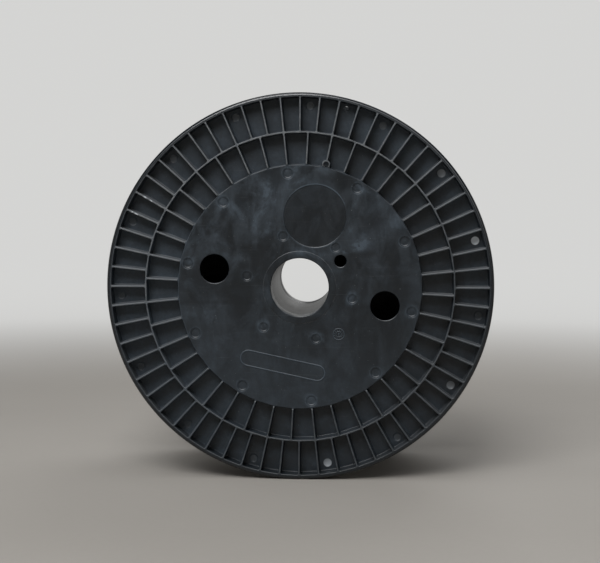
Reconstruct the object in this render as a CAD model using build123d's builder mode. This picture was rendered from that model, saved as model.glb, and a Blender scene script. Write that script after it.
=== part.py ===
"""Plastic wire spool: two ribbed flanges plugged onto a hollow barrel.

The spool stands on its rims with its axis along Y and its front flange facing -Y.
The origin is on the axis, half way along it. All sizes are in millimetres and degrees.
"""
from build123d import *
from math import cos, radians, sin, tan
import os

# Overall
spool_width = 200.0
flange_d = 400.0
flange_thickness = 18.0
bore_d = 60.0
roll = 11.9

# Flange plate, rim and ring rib
plate_thickness = 3.0
rim_width = 5.0
rim_bevel = 2.6
ring_width = 2.0
ring_offset = 1.2

# Radial ribs, counted round the outer and the inner band; the inner ones start just outside the dish
rib_thickness = 2.0
rib_setback = 0.6
outer_rib_count = 60
inner_rib_count = 40

# Centre disc, dished forward over the end of the barrel
disc_recess = 1.0
disc_thickness = 3.0
dish_wall = 2.7
collar_width = 7.3
collar_height = 0.6
sleeve_wall = 4.0
sleeve_end = 28.0
bore_bevel = 1.2

# Holes in the disc, set in from its edge or out from the collar
drive_hole_d = 30.0
drive_inset = 36.0
drive_hole_count = 2
pin_hole_d = 12.5
pin_offset = 12.7
pin_hole_angle = 45.0
hole_bevel = 1.0

# Label recess between collar and disc edge, and marking frame set in from the edge
label_gap = 5.2
label_inset = 18.5
label_angle = 90.0
label_depth = 0.6
frame_length = 90.0
frame_height = 17.0
frame_line = 1.2
frame_raise = 0.5
frame_inset = 43.0
frame_angle = 270.0

# Holes for the wire ends, one in a boss beside the disc and one near the rim
start_hole_d = 5.8
start_boss_d = 8.6
start_offset = 3.2
start_angle = 90.0
tie_hole_d = 5.0
tie_hole_inset = 10.3
tie_angle = 87.7

# Barrel
barrel_d = 246.0
barrel_wall = 4.0
socket_clearance = 0.3
web_thickness = 2.5
web_root = 0.5
web_count = 6

# Derived radii and heights; heights are counted outward from the flange's outer face
flange_r = flange_d / 2
bore_r = bore_d / 2
barrel_r = barrel_d / 2
socket_r = barrel_r + socket_clearance
dish_r = socket_r + dish_wall
rib_start_r = dish_r + rib_setback
rim_inner_r = flange_r - rim_width
ring_r = (dish_r + rim_inner_r) / 2 - ring_offset
collar_r = bore_r + collar_width
sleeve_r = bore_r + sleeve_wall
disc_top = -disc_recess
disc_back = disc_top - disc_thickness
collar_top = disc_top + collar_height
plate_top = plate_thickness - flange_thickness
drive_r = dish_r - drive_inset
pin_hole_r = collar_r + pin_offset
label_d = dish_r - label_inset - collar_r - label_gap
label_r = collar_r + label_gap + label_d / 2
frame_r = dish_r - frame_inset
start_hole_r = dish_r + start_offset
tie_hole_r = flange_r - tie_hole_inset
half_width = spool_width / 2
half_barrel = half_width + disc_back
half_hub = half_width - sleeve_end


def around(radius, angle):
    """Point on a flange face at a radius and an angle from the face's own X direction."""
    return (radius * cos(radians(angle)), radius * sin(radians(angle)))


def outer_face(side):
    """Plane of a flange's outer face, looking out of the spool and rolled clockwise from level."""
    x_dir = (-side * cos(radians(roll)), 0, -sin(radians(roll)))
    return Plane(origin=(0, side * half_width, 0), x_dir=x_dir, z_dir=(0, side, 0))


def section_plane(face):
    """Plane through the axis: X is the radius and Y the height over the flange's outer face."""
    return Plane(origin=face.origin, x_dir=face.x_dir, z_dir=-face.y_dir)


def circles(part, radius, height, face):
    """Circular edges of the part at one radius and one height over the outer face."""
    found = part.edges().filter_by(GeomType.CIRCLE)
    return [
        edge for edge in found
        if abs(edge.radius - radius) < 0.01
        and abs(face.to_local_coords(edge.arc_center).Z - height) < 0.01
    ]


def pocket_sketch(inner, outer, count):
    """Cells of one band: four-sided pockets whose side walls leave ribs of even thickness."""
    half_pitch = radians(180 / count)
    lost = rib_thickness / 2 / cos(half_pitch)
    inner_y = inner * tan(half_pitch) - lost
    outer_y = outer * tan(half_pitch) - lost
    corners = [(inner, -inner_y), (outer, -outer_y), (outer, outer_y), (inner, inner_y)]
    with PolarLocations(0, count, start_angle=180 / count):
        Polygon(*corners, align=None)


def moulded_flange(face):
    """One flange, drawn on the plane of its outer face."""
    disc_plane = face.offset(disc_top)
    plate_plane = face.offset(plate_top)
    with BuildPart() as flange:
        # Turned body: collar, disc, solid band, rim, dish for the barrel's end and hub sleeve
        with BuildSketch(section_plane(face)):
            with BuildLine():
                Polyline(
                    (bore_r, collar_top),
                    (collar_r, collar_top),
                    (collar_r, disc_top),
                    (rib_start_r, disc_top),
                    (rib_start_r, 0),
                    (flange_r, 0),
                    (flange_r, -flange_thickness),
                    (socket_r, -flange_thickness),
                    (socket_r, disc_back),
                    (sleeve_r, disc_back),
                    (sleeve_r, -sleeve_end),
                    (bore_r, -sleeve_end),
                    close=True,
                )
            make_face()
        revolve(axis=Axis(face.origin, face.z_dir))
        chamfer(circles(flange, flange_r, 0, face), rim_bevel)
        chamfer(circles(flange, bore_r, collar_top, face), bore_bevel)

        # Cells cut into the band, which leave the ring rib and the radial ribs standing
        with BuildSketch(face):
            pocket_sketch(dish_r, ring_r - ring_width / 2, inner_rib_count)
            pocket_sketch(ring_r + ring_width / 2, rim_inner_r, outer_rib_count)
        extrude(amount=plate_top, mode=Mode.SUBTRACT)

        # Drive holes and driving-pin hole, with bevelled mouths
        with BuildSketch(disc_plane):
            with PolarLocations(drive_r, drive_hole_count):
                Circle(drive_hole_d / 2)
            with Locations(around(pin_hole_r, pin_hole_angle)):
                Circle(pin_hole_d / 2)
        extrude(amount=-disc_thickness, mode=Mode.SUBTRACT)
        chamfer(circles(flange, drive_hole_d / 2, disc_top, face), hole_bevel)
        chamfer(circles(flange, pin_hole_d / 2, disc_top, face), hole_bevel)

        # Label recess and the raised line of the marking frame
        with BuildSketch(disc_plane):
            with Locations(around(label_r, label_angle)):
                Circle(label_d / 2)
        extrude(amount=-label_depth, mode=Mode.SUBTRACT)
        with BuildSketch(disc_plane):
            with Locations(around(frame_r, frame_angle)):
                SlotOverall(frame_length, frame_height)
                SlotOverall(frame_length - 2 * frame_line, frame_height - 2 * frame_line, mode=Mode.SUBTRACT)
        extrude(amount=frame_raise)

        # Boss of the wire-start hole, then the two wire holes
        with BuildSketch(plate_plane):
            with Locations(around(start_hole_r, start_angle)):
                Circle(start_boss_d / 2)
        extrude(amount=-plate_top)
        with BuildSketch(face):
            with Locations(around(start_hole_r, start_angle)):
                Circle(start_hole_d / 2)
            with Locations(around(tie_hole_r, tie_angle)):
                Circle(tie_hole_d / 2)
        extrude(amount=-flange_thickness, mode=Mode.SUBTRACT)
    return flange


def moulded_barrel(middle):
    """The barrel, drawn on the plane half way along it: winding tube, hub tube and webs."""
    inner_r = barrel_r - barrel_wall
    with BuildPart() as barrel:
        with BuildSketch(middle):
            Circle(barrel_r)
            Circle(inner_r, mode=Mode.SUBTRACT)
        extrude(amount=half_barrel, both=True)
        with BuildSketch(middle):
            Circle(sleeve_r)
            with PolarLocations((sleeve_r + inner_r) / 2, web_count):
                Rectangle(inner_r - sleeve_r + 2 * web_root, web_thickness)
            Circle(bore_r, mode=Mode.SUBTRACT)
        extrude(amount=half_hub, both=True)
    return barrel


front_flange = moulded_flange(outer_face(-1))
back_flange = moulded_flange(outer_face(1))
barrel = moulded_barrel(Plane.XZ)

front_flange.part.label = "front_flange"
back_flange.part.label = "back_flange"
barrel.part.label = "barrel"

os.makedirs("parts", exist_ok=True)
export_step(front_flange.part, "parts/front_flange.step")
export_step(back_flange.part, "parts/back_flange.step")
export_step(barrel.part, "parts/barrel.step")
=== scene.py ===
from math import atan2, cos, degrees, pi, radians, sin, tan

import bmesh
import bpy
import numpy as np
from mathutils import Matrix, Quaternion, Vector
from mathutils.geometry import delaunay_2d_cdt


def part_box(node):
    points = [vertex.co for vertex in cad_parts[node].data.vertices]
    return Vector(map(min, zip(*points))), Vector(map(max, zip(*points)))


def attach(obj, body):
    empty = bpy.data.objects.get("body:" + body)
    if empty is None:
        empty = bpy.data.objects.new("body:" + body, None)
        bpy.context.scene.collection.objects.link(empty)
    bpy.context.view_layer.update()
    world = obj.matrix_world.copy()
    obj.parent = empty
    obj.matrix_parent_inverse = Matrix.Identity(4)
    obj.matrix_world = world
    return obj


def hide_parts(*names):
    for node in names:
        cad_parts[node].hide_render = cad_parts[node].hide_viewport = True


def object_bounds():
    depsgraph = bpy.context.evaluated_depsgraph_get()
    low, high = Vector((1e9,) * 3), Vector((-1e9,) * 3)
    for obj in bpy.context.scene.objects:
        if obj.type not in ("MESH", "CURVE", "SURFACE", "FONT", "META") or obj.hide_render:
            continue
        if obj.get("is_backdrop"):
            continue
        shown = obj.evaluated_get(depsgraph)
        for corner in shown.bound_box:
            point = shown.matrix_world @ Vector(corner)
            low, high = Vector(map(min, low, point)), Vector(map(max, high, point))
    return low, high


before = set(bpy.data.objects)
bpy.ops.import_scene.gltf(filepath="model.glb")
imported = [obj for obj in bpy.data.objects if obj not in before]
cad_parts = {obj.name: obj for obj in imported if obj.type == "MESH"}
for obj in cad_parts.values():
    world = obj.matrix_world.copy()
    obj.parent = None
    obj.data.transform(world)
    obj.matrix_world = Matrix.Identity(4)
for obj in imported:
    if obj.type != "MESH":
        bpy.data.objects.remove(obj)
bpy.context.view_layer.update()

# Flange sizes in millimetres, the outer ones from the frame; heights are counted outward from its face
MM = 0.001
lowest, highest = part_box("back_flange")
half_width = round(highest.y / MM, 3)
flange_r = round(highest.x / MM, 1)
roll = radians(11.9)
flange_back = -18.0
plate_top = -15.0
rim_width = 5.0
rim_round = 3.6
back_round = 0.6
rim_inner_r = flange_r - rim_width
dish_r = 126.0
seam_r = 124.9
socket_r = 123.3

# Ring rib, radial ribs and the cells between them; beside the disc the ribs slope down to its level
ring_offset = 1.2
ring_r = (dish_r + rim_inner_r) / 2 - ring_offset
ring_width = 2.0
rib_thickness = 2.0
outer_rib_count = 60
inner_rib_count = 40
edge_round = 0.55
cell_corner = 1.2
side_step = 2.0
floor_fillet = 0.9
wall_draft = 0.4
rib_full_r = 127.7
rib_rise = 1.1

# Centre disc, collar and hub sleeve
disc_top = -1.0
disc_back = -4.0
collar_r = 37.3
collar_top = -0.4
collar_round = 0.25
bore_r = 30.0
bore_round = 1.2
sleeve_r = 34.0
sleeve_end = round((lowest.y - highest.y) / MM, 3)
sleeve_bevel = 0.4

# Holes; a place is a radius from the axis and an angle round the face
drive_hole_r = 15.0
drive_places = ((90.0, 0.0), (90.0, 180.0))
pin_hole_r = 6.25
pin_place = (50.0, 45.0)
hole_round = 1.0
start_hole_r = 2.9
start_boss_r = 4.3
start_place = (129.2, 90.0)
start_round = 0.2
tie_hole_r = 2.5
tie_place = (189.7, 87.7)
tie_round = 0.3

# Label recess, marking frame and date dial
label_radius = 32.5
label_depth = 0.6
label_place = (75.0, 90.0)
frame_half = 45.0
frame_end_r = 8.5
frame_raise = 0.5
frame_line = 1.2
frame_place = (83.0, 270.0)
dial_place = (63.0, 322.0)
dial_rings = ((6.25, 5.35), (3.2, 2.5))
dial_tick_count = 12
dial_height = 0.4
dial_slope = 0.15

# Round ejector marks: radius of their circle, how many, first angle, size
hub_marks = (55.5, 6, 0.0, 5.8)
disc_marks = (118.0, 10, 0.0, 6.4)
rim_marks = (187.0, 15, 3.0, 4.6)
pit_share = 0.75
rim_mark_depth = 1.0
rim_mark_edge = 1.7

# Dished ones among the marks near the rim: angle and the strength of the painted glint on each
dished_marks_and_glints = {27: 0.9, 51: 0.18, 291: 0.32, 339: 0.2}
dish_depth = 1.1

# Points along each kind of curve
rim_points = 360
label_points = 160
backdrop_points = 128
hub_points = 120
drive_points = 72
pin_points = 48
dial_points = 48
mark_points = 36
wire_hole_points = 32
slot_end_points = 17
mouth_points = 5
boss_points = 5
corner_points = 4
edge_points = 4

# Camera, in metres and degrees
camera_place = (0.0688, -1.613, 0.1036)
camera_aim = (0.0005, -0.1, 0.0061)
camera_tilt = 0.26
camera_lens = 88.46
camera_sensor = 36.0


def around(radius, angle):
    """Point on the face at a radius from the axis and an angle in degrees."""
    return radius * np.array((cos(radians(angle)), sin(radians(angle))))


def arc(centre, radius, start, end, count):
    """Points of a circle's arc: centre plus radius times (cos a, sin a), a from start to end in degrees."""
    turn = np.radians(np.linspace(start, end, count))
    return centre + radius * np.stack((np.cos(turn), np.sin(turn)), -1)


def spun(points, turns):
    """Points turned about the origin: x cos a - y sin a and x sin a + y cos a for each turn a."""
    x, y = points[..., 0], points[..., 1]
    return np.stack((x * np.cos(turns) - y * np.sin(turns), x * np.sin(turns) + y * np.cos(turns)), -1)


def lifted(points, height):
    """Points of the face with their heights as a third coordinate."""
    height = np.broadcast_to(height, points.shape[:-1])
    return np.concatenate((points, height[..., None]), -1)


def turned(profile, count, centre=(0.0, 0.0)):
    """Profile (radius, height) carried round a circle: x = r cos a, y = r sin a about the centre."""
    profile = np.asarray(profile, float)
    turn = np.arange(count) / count * 2 * pi
    circle = np.stack((np.cos(turn), np.sin(turn)), -1)
    return lifted(centre + profile[:, 0, None, None] * circle, profile[:, 1, None])


def hole_profile(radius, top, bottom, edge):
    """Section of a round hole: a quarter round of size edge at the mouth, then a straight wall."""
    mouth = arc((radius + edge, top - edge), edge, 90, 180, mouth_points)
    return np.concatenate((mouth, [(radius, bottom)]))


def recess_profile(radius, top, depth, width=1.0):
    """Section of a shallow round recess: a rounded lip, a steep wall and a filleted foot, width across."""
    lip = [(0, 0), (0.08, 0.06), (0.2, 0.25)]
    foot = [(0.45, 0.7), (0.65, 0.92), (1.0, 1.0)]
    return np.array((radius, top)) - np.array(lip + foot) * (width, depth)


def mark_profile(size, top):
    """Section of an ejector mark on the disc: a shallow outer ring, then a deeper and narrower pit."""
    ring = [(0, 0), (0.12, 0.05), (0.35, 0.16), (0.6, 0.2)]
    pit = [(-0.1, 0.22), (0.1, 0.34), (0.42, 0.72), (0.65, 0.9), (1.0, 0.95)]
    return np.concatenate((
        np.array((size, top)) - np.array(ring),
        np.array((size * pit_share, top)) - np.array(pit),
    ))


def dish_profile(size, top, depth):
    """Section of a dished mark: depth times 1 - (r / size) squared, from the edge in to the middle."""
    radius = size * np.linspace(1.0, 0.1, 8)
    return np.stack((radius, top - depth * (1 - (radius / size) ** 2)), -1)


def line_profile():
    """Section of the marking frame's raised line as (inset, height): a rounded side and its mirror image."""
    side = np.array(((-0.15, 0), (0, 0.24), (0.06, 0.8), (0.2, 1), (0.5, 1)))
    both = np.concatenate((side, side[::-1] * (-1, 1) + (frame_line, 0)))
    return both * (1, frame_raise) + (0, disc_top)


def hub_profile():
    """Section of collar, bore and hub sleeve: filleted foot and round edge of the collar, round mouth of
    the bore, straight wall, bevelled end of the sleeve and its outside up to the disc's back."""
    end = sleeve_end + sleeve_bevel
    return np.concatenate((
        arc((collar_r + collar_round, disc_top + collar_round), collar_round, 270, 180, edge_points),
        arc((collar_r - collar_round, collar_top - collar_round), collar_round, 0, 90, edge_points),
        arc((bore_r + bore_round, collar_top - bore_round), bore_round, 90, 180, 6),
        [(bore_r, end), (bore_r + sleeve_bevel, sleeve_end)],
        [(sleeve_r - sleeve_bevel, sleeve_end), (sleeve_r, end), (sleeve_r, disc_back)],
    ))


def rim_profile():
    """Section of the rim's outside: a large round at the front, a straight tread, a small round behind."""
    return np.concatenate((
        arc((flange_r - rim_round, -rim_round), rim_round, 90, 0, 7),
        arc((flange_r - back_round, flange_back + back_round), back_round, 0, -90, edge_points),
    ))


def cell_profile():
    """Section of a cell wall as (inset, height): rounded front edge, drafted wall, filleted foot."""
    top = arc((-edge_round, -edge_round), edge_round, 90, 0, edge_points)
    foot = arc((wall_draft + floor_fillet, plate_top + floor_fillet), floor_fillet, 180, 270, edge_points)
    return np.concatenate((top, foot)) - (wall_draft / 2, 0)


def sunk(loops, rows):
    """Loops whose first rows fall to the disc's level beside it: by the disc's recess times a straight
    slope that ends where the ribs have their full height."""
    radius = np.hypot(loops[..., :rows, :, 0], loops[..., :rows, :, 1])
    loops[..., :rows, :, 2] += disc_top * np.clip((rib_full_r - radius) / rib_rise, 0, 1)
    return loops


def cell_corners(inner, outer, half_pitch):
    """Four rounded corners of a cell and a point on each side wall beyond the inner ones: centre, reach,
    sense and direction of each point.

    The side walls run beside ribs of even thickness, so the cell is a trapezoid about its own X axis."""
    lost = (rib_thickness / 2 + cell_corner) / cos(half_pitch)
    low, high = inner + cell_corner, outer - cell_corner
    full = low + side_step
    low_y, high_y, full_y = [x * tan(half_pitch) - lost for x in (low, high, full)]
    side = 90 + degrees(half_pitch)
    corners = (
        ((high, -high_y), -side, 0, corner_points),
        ((high, high_y), 0, side, corner_points),
        ((full, full_y), side, side, 1),
        ((low, low_y), side, 180, corner_points),
        ((low, -low_y), 180, 360 - side, corner_points),
        ((full, -full_y), 360 - side, 360 - side, 1),
    )
    centre = np.repeat(np.array([c[0] for c in corners]), [c[3] for c in corners], 0)
    direction = np.concatenate([arc((0, 0), 1, *c[1:]) for c in corners])
    return centre, np.full(len(centre), cell_corner), np.ones(len(centre)), direction


def boss_cell_corners(inner, outer, half_pitch):
    """Corners of the cell beside the wire-start boss: one corner gives way to the boss's own round wall.

    A fillet touches the rib and the boss, the wall then follows the boss from a step past the touching
    point and runs on to the dish."""
    along = np.array((cos(half_pitch), sin(half_pitch)))
    across = np.array((-sin(half_pitch), cos(half_pitch)))
    boss = start_place[0] * along
    off = rib_thickness / 2 + cell_corner
    run = ((start_boss_r + cell_corner) ** 2 - off ** 2) ** 0.5
    fillet = boss + run * along - off * across
    foot = (inner + cell_corner, boss[1] - start_boss_r - cell_corner)
    side = 90 + degrees(half_pitch)
    meet = side + degrees(atan2(run, off))
    past = meet + 180 + (90 - meet) / boss_points
    parts = (
        (fillet, cell_corner, 1, side, meet),
        (boss, start_boss_r, -1, past, 270),
        (foot, cell_corner, 1, 90, 180),
    )
    added = (
        np.repeat(np.array([p[0] for p in parts]), boss_points, 0),
        np.repeat([p[1] for p in parts], boss_points),
        np.repeat([p[2] for p in parts], boss_points),
        np.concatenate([arc((0, 0), 1, p[3], p[4], boss_points) for p in parts]),
    )
    kept = 2 * corner_points
    resumed = 3 * corner_points + 1
    plain = cell_corners(inner, outer, half_pitch)
    return [np.concatenate((old[:kept], new, old[resumed:])) for old, new in zip(plain, added)]


def flipped(corners):
    """The same corners mirrored in the cell's X axis, taken the other way round."""
    centre, reach, sense, direction = corners
    mirror = np.array((1.0, -1.0))
    return (centre * mirror)[::-1], reach[::-1], sense[::-1], (direction * mirror)[::-1]


def cell_loops(corners, turns):
    """Loops down the walls of like cells: corner points move along their directions by the profile's
    inset, sink to its height, and the cell is turned to each place round the band."""
    centre, reach, sense, direction = corners
    profile = cell_profile()
    inset = profile[:, 0, None, None]
    loops = centre + (reach[:, None] - sense[:, None] * inset) * direction
    return sunk(lifted(spun(loops, turns[:, None, None]), profile[:, 1, None]), edge_points)


def slot_loops(place, half_length, end_r, profile):
    """Loops of a rounded-end slot: two half circles, moved in by the profile's inset at its heights."""
    ends = np.linspace((-90, 90), (90, 270), slot_end_points).T
    turn = np.radians(ends.ravel())
    middle = np.repeat((half_length - end_r, end_r - half_length), slot_end_points)
    reach = end_r - profile[:, 0, None]
    points = np.stack((middle + reach * np.cos(turn), reach * np.sin(turn)), -1)
    return lifted(place + points, profile[:, 1, None])


class Moulding:
    """A closed moulding gathered from walls and flat faces, in millimetres on the flange's own face."""

    def __init__(self):
        self.points, self.faces, self.smooth, self.count = [], [], [], 0

    def wall(self, loops):
        """Quads between neighbouring loops of an array (..., loops, points round, 3); gives point numbers."""
        numbers = np.arange(loops[..., 0].size).reshape(loops.shape[:-1]) + self.count
        self.points.append(loops.reshape(-1, 3))
        self.count += numbers.size
        here, after = numbers[..., :-1, :], numbers[..., 1:, :]
        quads = np.stack((here, np.roll(here, -1, -1), np.roll(after, -1, -1), after), -1).reshape(-1, 4)
        self.faces += quads.tolist()
        self.smooth += [True] * len(quads)
        return numbers

    def caps(self, loops):
        """One flat face on each loop of point numbers."""
        loops = loops.reshape(-1, loops.shape[-1])
        self.faces += loops.tolist()
        self.smooth += [False] * len(loops)

    def flat(self, *loops):
        """Flat face between loops: a constrained triangulation, kept where an odd number of loops
        surround a triangle's middle."""
        numbers = np.concatenate(loops)
        place = np.concatenate(self.points)[numbers, :2]
        follow = np.concatenate([np.roll(loop, -1) for loop in loops])
        order = {int(n): i for i, n in enumerate(numbers)}
        edges = [(i, order[int(n)]) for i, n in enumerate(follow)]
        _, _, faces, origins, _, _ = delaunay_2d_cdt([Vector(p) for p in place], edges, [], 1, 1e-6)
        tris = np.array([ids[0] for ids in origins])[np.array(faces)]
        middle = place[tris].mean(1)
        ends = place[np.array(edges)]
        (x0, y0), (x1, y1) = ends[:, 0].T, ends[:, 1].T
        spans = (y0 > middle[:, 1, None]) != (y1 > middle[:, 1, None])
        rise = np.where(y1 == y0, 1.0, y1 - y0)
        cut = x0 + (x1 - x0) * (middle[:, 1, None] - y0) / rise
        inside = (spans & (middle[:, 0, None] < cut)).sum(1) % 2 == 1
        self.faces += numbers[tris[inside]].tolist()
        self.smooth += [False] * int(inside.sum())

    def made(self, name, side):
        """Mesh object on one side of the spool: face axes turned to the world, with two attributes for
        the finish, each point's place on the face in millimetres and how far each face looks up."""
        points = np.concatenate(self.points)
        axes = np.array((
            (-side * cos(roll), 0, -sin(roll)),
            (-side * sin(roll), 0, cos(roll)),
            (0, side, 0),
        ))
        world = (points @ axes + np.array((0, side * half_width, 0))) * MM
        mesh = bpy.data.meshes.new(name)
        mesh.from_pydata(world.tolist(), [], self.faces)
        mesh.polygons.foreach_set("use_smooth", self.smooth)
        place = mesh.attributes.new("moulding", "FLOAT_VECTOR", "POINT")
        place.data.foreach_set("vector", points.ravel())
        work = bmesh.new()
        work.from_mesh(mesh)
        bmesh.ops.recalc_face_normals(work, faces=work.faces)
        work.to_mesh(mesh)
        work.free()
        normals = np.empty(3 * len(mesh.polygons))
        mesh.polygons.foreach_get("normal", normals)
        mesh.attributes.new("upward", "FLOAT", "FACE").data.foreach_set("value", normals[2::3].copy())
        piece = bpy.data.objects.new(name, mesh)
        bpy.context.scene.collection.objects.link(piece)
        return piece


def mark_walls(moulding, marks):
    """Ejector marks evenly round a circle of the disc; gives the rim loops of the marks."""
    radius, count, first, size = marks
    rims = []
    for angle in first + 360 / count * np.arange(count):
        numbers = moulding.wall(turned(mark_profile(size, disc_top), mark_points, around(radius, angle)))
        moulding.caps(numbers[-1])
        rims.append(numbers[0])
    return rims


def dial_shapes(moulding, outlines):
    """Flat-topped shapes that stand on the disc, from outlines (shapes, points, 2); gives foot loops."""
    levels = np.array((disc_top, disc_top + dial_height))
    numbers = moulding.wall(lifted(np.repeat(outlines[:, None], 2, 1), levels[:, None]))
    moulding.caps(numbers[:, 1])
    return list(numbers[:, 0])


def dial(moulding):
    """Date dial: two raised rings, raised ticks and a plain arrow; gives their loops on the disc."""
    centre = around(*dial_place)
    loops = []
    for outer, inner in dial_rings:
        ring = [(outer, 0), (outer - dial_slope, dial_height), (inner + dial_slope, dial_height), (inner, 0)]
        numbers = moulding.wall(turned(np.array(ring) + (0, disc_top), dial_points, centre))
        loops += [numbers[0], numbers[-1]]
    tick = np.array(((3.6, -0.3), (5.0, -0.3), (5.0, 0.3), (3.6, 0.3)))
    turns = np.arange(dial_tick_count)[:, None] * 2 * pi / dial_tick_count
    arrow = np.array(((0.3, -2.0), (0.3, 0.2), (1.1, 0.2), (0, 2.0), (-1.1, 0.2), (-0.3, 0.2), (-0.3, -2.0)))
    loops += dial_shapes(moulding, centre + spun(tick, turns))
    loops += dial_shapes(moulding, centre + arrow[None])
    return loops


def outer_floors(moulding, floors):
    """Floors of the outer cells: one with the wire-end hole, those with ejector marks, dished or recessed,
    and plain ones; gives the hole's back loop."""
    cell = 360 / outer_rib_count
    plain = np.ones(outer_rib_count, bool)
    section = hole_profile(tie_hole_r, plate_top, flange_back, tie_round)
    tie = moulding.wall(turned(section, wire_hole_points, around(*tie_place)))
    moulding.flat(floors[int(tie_place[1] // cell)], tie[0])
    plain[int(tie_place[1] // cell)] = False
    radius, count, first, size = rim_marks
    for angle in first + 360 / count * np.arange(count):
        section = recess_profile(size, plate_top, rim_mark_depth, rim_mark_edge)
        if round(angle) in dished_marks_and_glints:
            section = dish_profile(size, plate_top, dish_depth)
        numbers = moulding.wall(turned(section, mark_points, around(radius, angle)))
        moulding.caps(numbers[-1])
        moulding.flat(floors[int(angle // cell)], numbers[0])
        plain[int(angle // cell)] = False
    moulding.caps(floors[plain])
    return tie[-1]


def cells(moulding):
    """All the cells of both bands and their floors; gives front loops and the wire-end hole's back loop."""
    outer_half, inner_half = pi / outer_rib_count, pi / inner_rib_count
    outer_turns = (2 * np.arange(outer_rib_count) + 1) * outer_half
    inner_turns = (2 * np.arange(inner_rib_count) + 1) * inner_half
    outer_span = (ring_r + ring_width / 2, rim_inner_r, outer_half)
    inner_span = (dish_r, ring_r - ring_width / 2, inner_half)
    beside = inner_turns - radians(start_place[1])
    before, after = np.isclose(beside, -inner_half), np.isclose(beside, inner_half)
    outer = moulding.wall(cell_loops(cell_corners(*outer_span), outer_turns))
    inner = moulding.wall(cell_loops(cell_corners(*inner_span), inner_turns[~(before | after)]))
    left = moulding.wall(cell_loops(boss_cell_corners(*inner_span), inner_turns[before]))
    right = moulding.wall(cell_loops(flipped(boss_cell_corners(*inner_span)), inner_turns[after]))
    for band in (inner, left, right):
        moulding.caps(band[:, -1])
    tie = outer_floors(moulding, outer[:, -1])
    fronts = [loop for band in (outer, inner, left, right) for loop in band[:, 0]]
    return fronts, tie


def flange(name, side):
    """One flange: ribbed band with open cells, recessed disc with its holes and marks, collar and sleeve."""
    moulding = Moulding()
    fronts, tie = cells(moulding)

    # Rim, seam between disc and ribs, socket for the barrel, collar with bore and sleeve
    rim = moulding.wall(turned(rim_profile(), rim_points))
    seam = moulding.wall(turned([(seam_r, disc_top)], rim_points))
    socket = moulding.wall(turned([(socket_r, flange_back), (socket_r, disc_back)], rim_points))
    hub = moulding.wall(turned(hub_profile(), hub_points))

    # Holes through the disc and through the boss
    section = hole_profile(drive_hole_r, disc_top, disc_back, hole_round)
    drives = [moulding.wall(turned(section, drive_points, around(*place))) for place in drive_places]
    section = hole_profile(pin_hole_r, disc_top, disc_back, hole_round)
    pin = moulding.wall(turned(section, pin_points, around(*pin_place)))
    section = hole_profile(start_hole_r, 0.0, flange_back, start_round)
    start = moulding.wall(sunk(turned(section, wire_hole_points, around(*start_place)), mouth_points))

    # Label recess, marking frame, ejector marks and date dial on the disc
    section = recess_profile(label_radius, disc_top, label_depth)
    label = moulding.wall(turned(section, label_points, around(*label_place)))
    moulding.caps(label[-1])
    border = moulding.wall(slot_loops(around(*frame_place), frame_half, frame_end_r, line_profile()))
    relief = mark_walls(moulding, hub_marks) + mark_walls(moulding, disc_marks) + dial(moulding)

    # Flat faces that join them
    moulding.flat(rim[0], seam[0], start[0], *fronts)
    mouths = [hole[0] for hole in (hub, pin, *drives, label)]
    moulding.flat(seam[0], border[0], border[-1], *mouths, *relief)
    moulding.flat(socket[-1], hub[-1], pin[-1], *[drive[-1] for drive in drives])
    moulding.flat(rim[-1], socket[0], start[-1], tie)
    return moulding.made(name, side)


class Wire:
    """One output socket of a finish; arithmetic on it adds Math nodes."""

    def __init__(self, finish, socket):
        self.finish, self.socket = finish, socket

    def math(self, operation, *values):
        return self.finish.node("ShaderNodeMath", {"operation": operation}, dict(enumerate((self, *values))))

    def __add__(self, other):
        return self.math("ADD", other)

    def __sub__(self, other):
        return self.math("SUBTRACT", other)

    def __rsub__(self, other):
        return self.finish.node("ShaderNodeMath", {"operation": "SUBTRACT"}, {0: other, 1: self})

    def __mul__(self, other):
        return self.math("MULTIPLY", other)

    def __truediv__(self, other):
        return self.math("DIVIDE", other)

    def __pow__(self, other):
        return self.math("POWER", other)

    __radd__, __rmul__ = __add__, __mul__


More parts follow.
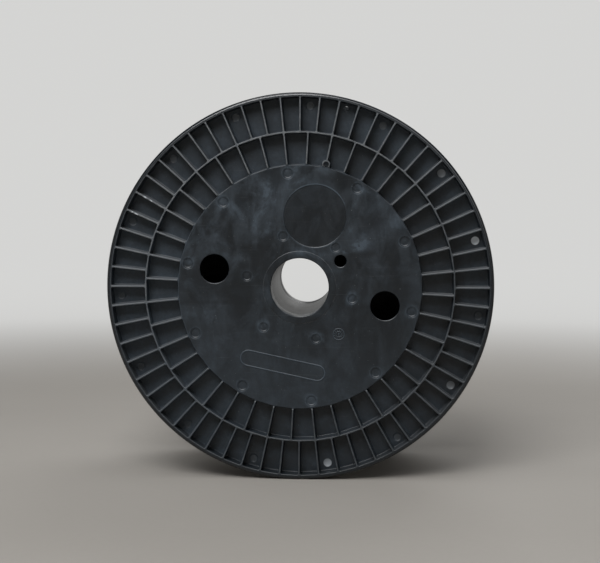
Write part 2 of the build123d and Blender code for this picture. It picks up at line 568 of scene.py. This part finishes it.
class Finish:
    """One procedural material. node() adds any node: type, settings first, then socket values or links."""

    def __init__(self, name):
        self.material = bpy.data.materials.new(name)
        self.material.use_nodes = True
        self.tree = self.material.node_tree
        self.tree.nodes.clear()

    def node(self, kind, settings, values, output=0):
        made = self.tree.nodes.new(kind)
        for key, value in settings.items():
            setattr(made, key, value)
        for key, value in values.items():
            if isinstance(value, Wire):
                self.tree.links.new(value.socket, made.inputs[key])
            else:
                made.inputs[key].default_value = value
        return Wire(self, made.outputs[output]) if made.outputs else None

    def parts(self, vector):
        """X, Y and Z of a vector."""
        first = self.node("ShaderNodeSeparateXYZ", {}, {0: vector})
        return [Wire(self, socket) for socket in first.socket.node.outputs]

    def noise(self, vector, scale, detail=3.0, rough=0.5, warp=0.0):
        values = {"Vector": vector, "Scale": scale, "Detail": detail, "Roughness": rough, "Distortion": warp}
        return self.node("ShaderNodeTexNoise", {}, values, "Fac")

    def stretched(self, vector, turn, scale):
        """Coordinates turned about Y by degrees and scaled, for a pattern drawn out in one direction."""
        values = {"Vector": vector, "Rotation": (0.0, radians(turn), 0.0), "Scale": scale}
        return self.node("ShaderNodeMapping", {}, values)

    def step(self, value, low, high):
        """Smooth step from 0 at low to 1 at high."""
        settings = {"interpolation_type": "SMOOTHSTEP"}
        return self.node("ShaderNodeMapRange", settings, {0: value, 1: low, 2: high, 3: 0.0, 4: 1.0})

    def mix(self, amount, first, second):
        """Colour between two colours, which are the node's sockets 6 and 7."""
        settings = {"data_type": "RGBA"}
        colours = [c if isinstance(c, Wire) else (*c, 1.0) for c in (first, second)]
        return self.node("ShaderNodeMix", settings, {0: amount, 6: colours[0], 7: colours[1]}, 2)

    def bump(self, height):
        """Normal from a bump height in millimetres."""
        return self.node("ShaderNodeBump", {}, {"Strength": 1.0, "Distance": MM, "Height": height})

    def done(self, surface):
        """The material, with a surface linked to its output."""
        self.node("ShaderNodeOutputMaterial", {}, {"Surface": surface})
        return self.material

    def plastic(self, colour, rough, height):
        """Principled plastic with its bump height in millimetres."""
        values = {"Base Color": colour, "Roughness": rough, "Specular IOR Level": 0.4}
        values["Normal"] = self.bump(height)
        return self.done(self.node("ShaderNodeBsdfPrincipled", {}, values))


class FlangeFinish(Finish):
    """Layers of the flanges' finish. Places are in millimetres on the moulding's own face, and the scales
    of noise count per metre."""

    def __init__(self):
        super().__init__("flange_satin_black")
        place = self.node("ShaderNodeAttribute", {"attribute_name": "moulding"}, {}, "Vector")
        self.x, self.y, self.h = self.parts(place)
        self.radius = (self.x * self.x + self.y * self.y) ** 0.5
        self.angle = self.y.math("ARCTAN2", self.x)
        self.upward = self.node("ShaderNodeAttribute", {"attribute_name": "upward"}, {}, "Fac")
        self.spot = self.node("ShaderNodeTexCoord", {}, {}, "Object")

        # Regions: the disc and its label recess, the band within the rim, the open side, and the upper left,
        # where painted light is added
        self.within = 1.0 - self.step(self.radius, flange_r - 3.8, flange_r - 3.0)
        self.on_disc = 1.0 - self.step(self.radius, seam_r, seam_r + 0.5)
        self.off_disc = 1.0 - self.on_disc
        self.on_band = self.off_disc * self.within
        self.open_side = self.step(self.h, flange_back + 0.4, flange_back + 1.3)
        self.tread = self.step(self.radius, flange_r - 1.2, flange_r - 0.6)
        self.tread = self.tread * (1.0 - self.step(self.h, -rim_round - 0.8, -rim_round))
        self.from_label = self.away(around(*label_place))
        self.in_label = 1.0 - self.step(self.from_label, label_radius - 1.1, label_radius - 0.1)
        self.high = self.step(self.y * 0.85 - self.x * 0.5, -70.0, 130.0)

        # Patterns, from broad clouds to fine grain
        self.cloud = self.step(self.noise(self.spot, 30.0, 6.0, 0.66, 0.6), 0.45, 0.66)
        streaks = self.stretched(self.spot, 8, (110.0, 110.0, 24.0))
        self.drip = self.step(self.noise(streaks, 1.0, 4.0, 0.6, 0.6), 0.46, 0.72)
        wisps = self.stretched(self.spot, -35, (60.0, 60.0, 26.0))
        self.veil = self.step(self.noise(wisps, 1.0, 5.0, 0.58, 0.5), 0.4, 0.68)
        self.mottle = self.noise(self.spot, 90.0, 5.0, 0.68)
        self.ragged = self.step(self.noise(self.spot, 130.0, 4.0, 0.7, 1.0), 0.42, 0.62)
        self.fleck = self.noise(self.spot, 330.0, 4.0, 0.7)
        self.grain = self.noise(self.spot, 1400.0, 2.0, 0.6)
        self.scuffed = self.smear((38, 47), (56, 58), 6) * self.ragged

    def away(self, point):
        """Distance on the face from a point."""
        off_x, off_y = self.x - point[0], self.y - point[1]
        return (off_x * off_x + off_y * off_y) ** 0.5

    def line(self, value, middle, near, far):
        """Soft line where a value is within near of its middle, gone at far."""
        return 1.0 - self.step((value - middle).math("ABSOLUTE"), near, far)

    def halo(self, marks, near, far):
        """Soft spot on each mark of a circle, from the distance to the nearest mark's centre."""
        circle, count, first, _ = marks
        sector = 2 * pi / count
        turn = (self.angle - (radians(first) - sector / 2 - 4 * pi)).math("MODULO", sector) - sector / 2
        gap = self.radius * self.radius + circle ** 2 - self.radius * turn.math("COSINE") * (2 * circle)
        return 1.0 - self.step(gap.math("MAXIMUM", 0.0) ** 0.5, near, far)

    def outline(self, marks):
        """Thin line round each mark of a circle."""
        size = marks[3]
        return self.halo(marks, size - 0.1, size + 0.5) - self.halo(marks, size - 0.8, size - 0.2)

    def smear(self, start, end, width):
        """Soft stroke from the distance to the line between two points of the face."""
        (x0, y0), (x1, y1) = np.array(start, float), np.array(end, float)
        run_x, run_y = x1 - x0, y1 - y0
        share = ((self.x - x0) * run_x + (self.y - y0) * run_y) / (run_x ** 2 + run_y ** 2)
        share = share.math("MAXIMUM", 0.0).math("MINIMUM", 1.0)
        off_x, off_y = self.x - x0 - share * run_x, self.y - y0 - share * run_y
        return 1.0 - self.step((off_x * off_x + off_y * off_y) ** 0.5, 0.0, width)

    def strokes(self, *rows):
        """Sum of smears, each given by its two ends, its width and its strength."""
        return sum(self.smear(start, end, width) * strength for start, end, width, strength in rows)

    def scratches(self, turn, scale, warp, low):
        """Hair-thin strokes: noise drawn out in one direction and kept only where it is high."""
        strokes = self.stretched(self.spot, turn, scale)
        return self.step(self.noise(strokes, 1.0, 2.0, 0.5, warp), low, low + 0.08)

    def film_and_sheen(self):
        """Cloudy layer on the disc, partly dusty and partly painted sheen, with smears and rings round the
        ejector marks, wiped off along a few strokes; on top the scuff, the raised lines, the label's smear
        and a painted highlight on its lip."""
        cloud, drip, mottle, ragged, high = self.cloud, self.drip, self.mottle, self.ragged, self.high
        smears = self.strokes(
            ((-30, 112), (-44, 84), 24, 0.75),
            ((-57, 101), (-42, 58), 16, 0.5),
            ((-92, 70), (-54, 56), 20, 0.35),
            ((-7, 37), (22, 37), 7, 1.0),
            ((40, 74), (48, 52), 13, 0.55),
            ((50, 56), (84, 88), 13, 0.75),
            ((-113, -50), (-67, -47), 15, 0.4),
            ((5, -71), (38, -73), 8, 0.45),
        )
        wiped = self.strokes(
            ((45, 44), (66, 50), 6, 0.7),
            ((-117, -42), (-70, -31), 3, 0.4),
            ((-10, 116), (28, 114), 10, 0.5),
            ((-70, -31), (-45, -26), 4, 0.4),
            ((-98, -16), (-52, -12), 22, 0.7),
        )
        # Paler towards the bottom of the disc
        low = (1.0 - self.step(self.y, -120.0, -20.0)) * 0.22
        rings = self.halo(hub_marks, 5.5, 10.5) * 0.4 + self.halo(disc_marks, 6.0, 10.5) * 0.25
        outlines = self.outline(hub_marks) + self.outline(disc_marks)
        film_and_sheen = rings * (0.3 + cloud) + outlines * (0.18 + ragged * 0.3) + low
        # Painted sheen: the clouds and wisps are paler at the upper left, where the light falls
        film_and_sheen = film_and_sheen + cloud * (0.16 + high * 0.3) + self.veil * (0.16 + high * 0.2)
        film_and_sheen = film_and_sheen + smears * (0.25 + drip * 0.35 + cloud * 0.5)
        film_and_sheen = 0.03 + film_and_sheen * (0.1 + mottle * 0.7 + self.fleck * 0.9)
        film_and_sheen = film_and_sheen * (1.0 - self.in_label * 0.6) * (1.0 - wiped.math("MINIMUM", 1.0))

        raised = self.step(self.h, disc_top + 0.15, disc_top + 0.4) * self.on_disc
        raised = raised * self.step(self.radius, collar_r + 1.7, collar_r + 2.2)
        label_smear = self.smear((-21, 80), (-20, 74), 10) * (0.1 + mottle * 0.4) * (0.4 + drip * 0.8)
        above = self.y - around(*label_place)[1]
        # Worn lip of the label recess with a painted highlight, strongest along its top and weaker along its
        # bottom
        lip = self.line(self.from_label, label_radius + 0.4, 0.2, 0.8) * (0.5 + ragged * 0.6)
        lip = lip * (0.15 + self.step(above, 12.0, 30.0) * 0.9 + self.step(above, -20.0, -31.0) * 0.4)
        film_and_sheen = film_and_sheen + self.scuffed * 0.9 + raised * 0.6 + label_smear + lip
        return self.on_disc * film_and_sheen.math("MINIMUM", 1.5)

    def dust_and_painted_light(self):
        """Dust in the cells with painted light on their floors: paler at the upper left, the lower left and
        the upper right, darker beside the rim.
        """
        # Painted light: the cell floors are made paler where they should look lit, most at the upper left
        dust_and_painted_light = 0.17 + self.high * 0.18 + self.step(self.mottle, 0.42, 0.7) * 0.2 + self.cloud * 0.1
        dust_and_painted_light = dust_and_painted_light + self.step(self.x, 20.0, -100.0) * self.step(self.y, 80.0, -20.0) * 0.36
        dust_and_painted_light = dust_and_painted_light + self.step(self.x + self.y, 120.0, 220.0) * self.step(self.radius, 163.0, 175.0) * 0.22
        dust_and_painted_light = dust_and_painted_light * (1.0 - self.step(self.radius, rim_inner_r - 0.8, rim_inner_r + 0.2) * 0.7)
        return self.on_band * self.open_side * dust_and_painted_light * (0.4 + self.fleck * 1.2)

    def rubbed(self):
        """Rib fronts rubbed paler, with a painted sheen that is strongest at the upper left; least on the
        rim.
        """
        front = self.step(self.h, -0.8, -0.2) * self.on_band
        # Painted sheen: the rub grows towards the upper left
        rubbed = front * (0.28 + self.high * 0.6) * (0.6 + self.ragged * 0.5)
        return rubbed * (1.0 - self.step(self.radius, rim_inner_r - 0.2, rim_inner_r + 0.5) * 0.75)

    def worn(self):
        """Faces that look up made paler as painted light from above, partly dusty, with painted shade to the
        right; wear on the ribs' ends beside the disc and round the collar; a painted highlight line round the
        rim, brightest at the top.
        """
        x, y, h, radius = self.x, self.y, self.h, self.radius
        # Painted light: faces that look up are paler, as if lit from above
        up = self.step(self.upward, 0.1, 0.75) * self.on_band * self.open_side
        # Painted shade: less of that light on the right side
        shaded = self.step(x, 0.0, 80.0) * (0.12 - y / radius * 0.6)
        wall = x * x / (radius * radius) * (0.25 + self.mottle * 0.7) + self.step(h, -1.4, -0.7) * 0.45
        wall = wall * (0.86 + self.step(y, 0.0, 80.0) * 0.14) * (1.0 - shaded)
        end = self.step(h, -0.9, -0.4) * self.off_disc
        end = end * (1.0 - self.step(radius, rib_full_r - 0.5, rib_full_r + 0.5)) * 0.4
        collar = self.line(radius, collar_r + 0.2, 0.2, 0.7) * (0.05 + self.ragged * 0.12)
        # Painted highlight: a line on the rim's front round, brightest at the top
        rim = self.line(radius, flange_r - 2.4, 0.2, 0.8) * self.open_side
        rim = rim * (0.06 + self.step(y / radius, 0.2, 1.0) * 0.5)
        return up * wall + end + collar + rim

    def wound(self):
        """Rings rubbed round the rim's tread and the winding side: noise that changes fast with radius and
        height and slowly round the axis."""
        winding = (1.0 - self.open_side) * self.step(self.radius, 118.0, 120.0)
        round_x, round_y = self.x / self.radius * 1.5, self.y / self.radius * 1.5
        circles = {0: round_x, 1: round_y, 2: (self.radius + self.h) * 0.6}
        turns = self.noise(self.node("ShaderNodeCombineXYZ", {}, circles), 1.0, 4.0, 0.6)
        rings = self.step(turns, 0.46, 0.74) * (0.3 + self.mottle * 0.6)
        return rings * self.tread.math("MAXIMUM", winding)

    def pressed_marks_and_light(self):
        """Paler discs of the ejector marks near the rim, with painted light that makes them paler towards the
        top.
        """
        level = self.step(self.h, plate_top - 1.6, plate_top - 1.4)
        level = level * (1.0 - self.step(self.h, plate_top + 0.2, plate_top + 0.4))
        # Painted light: paler towards the top of the flange, where the rim shades the marks
        tone = 0.12 + self.mottle * 0.2 + self.step(self.y, 60.0, 140.0) * 0.42
        return self.halo(rim_marks, rim_marks[3] - 1.0, rim_marks[3]) * level * tone

    def glints_and_nicks(self):
        """Painted glints on the shiny dished marks near the rim, and two nicks in the ribs."""
        circle, _, _, size = rim_marks
        dished = 0.0
        # Painted glint: a bright disc on each dished mark
        for angle, brightness in dished_marks_and_glints.items():
            gap = self.away(around(circle, angle))
            dished = (1.0 - self.step(gap, size - 0.7, size)) * brightness + dished
        nicks = self.strokes(
            ((-187, 39.8), (-180, 38.3), 2.4, 1.0),
            ((-176, 57.2), (-168, 54.6), 2.0, 0.6),
        )
        nicks = nicks * self.step(self.h, -4.0, -1.0) * self.ragged
        return (dished * self.open_side + nicks).math("MINIMUM", 1.0)


def flange_plastic():
    """Satin black plastic: a cloudy layer with painted sheen on the disc, dusty cells with painted light,
    rubbed fronts, worn edges, painted light on faces that look up and painted glints on the dished marks.
    """
    f = FlangeFinish()
    film_and_sheen, dust_and_painted_light, rubbed, worn, wound = f.film_and_sheen(), f.dust_and_painted_light(), f.rubbed(), f.worn(), f.wound()
    hair = f.scratches(52, (20.0, 20.0, 1100.0), 0.4, 0.68)
    cross = f.scratches(-24, (16.0, 16.0, 1000.0), 0.3, 0.7)
    scratched = (hair + cross) * (0.1 + f.mottle * 0.3) * (1.0 - f.in_label * 0.7) * f.within
    specks = f.step(f.noise(f.spot, 620.0, 1.0, 0.5), 0.76, 0.82) * f.within * f.open_side
    # Painted highlight on the disc's faces that look up near its front, such as the lower lips of the bore
    # and holes
    upward_ledge_highlight = f.step(f.upward, 0.3, 0.85) * f.on_disc * f.step(f.h, -3.3, -2.4)
    handled = f.step(f.radius, flange_r - 4.5, flange_r - 3.5)

    # Both colours are tinted blue as a painted reflection of the sky
    colour = f.mix(film_and_sheen + dust_and_painted_light, (0.0058, 0.0084, 0.0112), (0.048, 0.066, 0.086))
    # Layers over it, several of them painted light: sheen on the marks and fronts, lit faces that look up,
    # the rim's highlight line, highlights on the hole lips and glints on the dished marks
    layers = (
        (f.pressed_marks_and_light(), (0.13, 0.145, 0.16)),
        (rubbed, (0.145, 0.156, 0.167)),
        (worn, (0.19, 0.2, 0.21)),
        (scratched, (0.085, 0.096, 0.105)),
        (wound, (0.07, 0.075, 0.08)),
        (specks * 0.4, (0.2, 0.21, 0.22)),
        (upward_ledge_highlight * (0.3 + f.ragged * 0.35), (0.22, 0.235, 0.25)),
        (f.glints_and_nicks(), (0.78, 0.84, 0.9)),
    )
    for amount, tone in layers:
        colour = f.mix(amount, colour, tone)
    rough = 0.36 + (film_and_sheen + dust_and_painted_light) * 0.2 + (rubbed + worn) * 0.18 + (f.mottle - 0.5) * 0.14 - handled * 0.2
    rough = rough + f.tread * 0.2 + wound * 0.15 + (f.veil - 0.5) * f.on_disc * 0.1
    height = f.grain * 0.012 + f.mottle * 0.03 + f.fleck * 0.012 + f.drip * 0.012
    height = height - hair * 0.015 + f.scuffed * 0.05
    return f.plastic(colour, rough.math("MAXIMUM", 0.15), height)


def barrel_plastic():
    """Satin black plastic rubbed round the winding surface by the coils, dusty inside."""
    f = Finish("barrel_satin_black")
    spot = f.node("ShaderNodeTexCoord", {}, {}, "Object")
    rings = f.noise(f.stretched(spot, 0, (6.0, 420.0, 6.0)), 1.0, 4.0, 0.6)
    mottle = f.noise(spot, 45.0, 5.0, 0.6)
    grain = f.noise(spot, 1400.0, 2.0, 0.6)
    worn = f.step(rings, 0.48, 0.75)
    colour = f.mix(worn * 0.5 + mottle * 0.25, (0.0085, 0.0095, 0.0105), (0.06, 0.064, 0.068))
    rough = 0.36 + worn * 0.16 + mottle * 0.08
    return f.plastic(colour, rough, grain * 0.012 + mottle * 0.03 - worn * 0.02)


def studio_paint():
    """Pale matt floor with a faint unevenness; towards the wall the camera sees it as an even pale tone."""
    f = Finish("studio_pale_matt")
    spot = f.node("ShaderNodeTexCoord", {}, {}, "Object")
    x, y, _ = f.parts(spot)
    tone = f.noise(spot, 2.5, 4.0, 0.55)
    fine = f.noise(spot, 160.0, 3.0, 0.6)
    colour = f.mix(tone * 0.6 + fine * 0.2, (0.33, 0.31, 0.285), (0.42, 0.4, 0.37))
    values = {"Base Color": colour, "Roughness": 0.75, "Normal": f.bump(fine * 0.1)}
    matt = f.node("ShaderNodeBsdfPrincipled", {}, values)
    glow = f.node("ShaderNodeEmission", {}, {"Color": (0.66, 0.66, 0.65, 1.0), "Strength": 1.0})
    direct, mirrored, through = [
        f.node("ShaderNodeLightPath", {}, {}, ray)
        for ray in ("Is Camera Ray", "Is Glossy Ray", "Is Transmission Ray")
    ]
    seen = (direct + through + mirrored * f.step(y, 0.0, 0.6)).math("MINIMUM", 1.0)
    far = f.step((x * x + y * y) ** 0.5, 0.6, 2.1) * seen
    return f.done(f.node("ShaderNodeMixShader", {}, {0: far, 1: matt, 2: glow}))


def backdrop():
    """Floor that curves up into a low wall all round: a section (radius, height) carried round the Z axis."""
    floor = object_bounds()[0].z
    level = [(radius, floor) for radius in (0.02, *np.linspace(0.2, 1.6, 8))]
    bend = arc((1.8, floor + 0.5), 0.5, 270, 360, 17)
    loops = turned(np.concatenate((level, bend, [(2.3, floor + 1.2)])), backdrop_points)
    numbers = np.arange(loops[..., 0].size).reshape(loops.shape[:-1])
    here, after = numbers[:-1], numbers[1:]
    quads = np.stack((here, after, np.roll(after, -1, -1), np.roll(here, -1, -1)), -1).reshape(-1, 4)
    mesh = bpy.data.meshes.new("backdrop")
    mesh.from_pydata(loops.reshape(-1, 3).tolist(), [], quads.tolist() + [numbers[0].tolist()])
    mesh.polygons.foreach_set("use_smooth", [True] * len(mesh.polygons))
    mesh.materials.append(studio_paint())
    piece = bpy.data.objects.new("backdrop", mesh)
    bpy.context.scene.collection.objects.link(piece)
    piece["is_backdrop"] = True


def lamp(name, place, aim, size, power):
    """Square soft lamp at a place, turned to a point."""
    light = bpy.data.lights.new(name, "AREA")
    light.size, light.energy = size, power
    holder = bpy.data.objects.new(name, light)
    holder.location = place
    holder.rotation_euler = (Vector(aim) - Vector(place)).to_track_quat("-Z", "Y").to_euler()
    bpy.context.scene.collection.objects.link(holder)


def camera():
    """Camera a little above and right of the axis, aimed at the front flange and turned a hair off level."""
    lens = bpy.data.cameras.new("camera")
    lens.sensor_width, lens.lens = camera_sensor, camera_lens
    holder = bpy.data.objects.new("camera", lens)
    holder.location = camera_place
    level = (Vector(camera_aim) - Vector(camera_place)).to_track_quat("-Z", "Y")
    holder.rotation_euler = (level @ Quaternion((0, 0, 1), radians(camera_tilt))).to_euler()
    bpy.context.scene.collection.objects.link(holder)
    bpy.context.scene.camera = holder


def sky():
    """Even pale light from all round."""
    world = bpy.data.worlds.new("studio")
    world.use_nodes = True
    light = world.node_tree.nodes["Background"].inputs
    light["Color"].default_value = (1.0, 1.0, 1.0, 1.0)
    light["Strength"].default_value = 0.06
    bpy.context.scene.world = world


plastic = flange_plastic()
for side, node in ((-1, "front_flange"), (1, "back_flange")):
    piece = flange(node + "_moulding", side)
    piece.data.materials.append(plastic)
    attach(piece, "root")
    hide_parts(node)
barrel_finish = barrel_plastic()
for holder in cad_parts["barrel"].material_slots:
    holder.material = barrel_finish

backdrop()
lamp("front_softbox", (-0.5, -1.9, 1.9), (0.0, -0.05, 0.0), 1.4, 54.0)
lamp("top_softbox", (-0.3, -0.45, 2.0), (0.0, 0.0, 0.0), 1.2, 12.0)
lamp("back_softbox", (0.7, 1.9, 1.7), (0.0, 0.05, 0.0), 1.4, 16.0)
sky()
camera()
bpy.context.scene.view_settings.view_transform = "Standard"
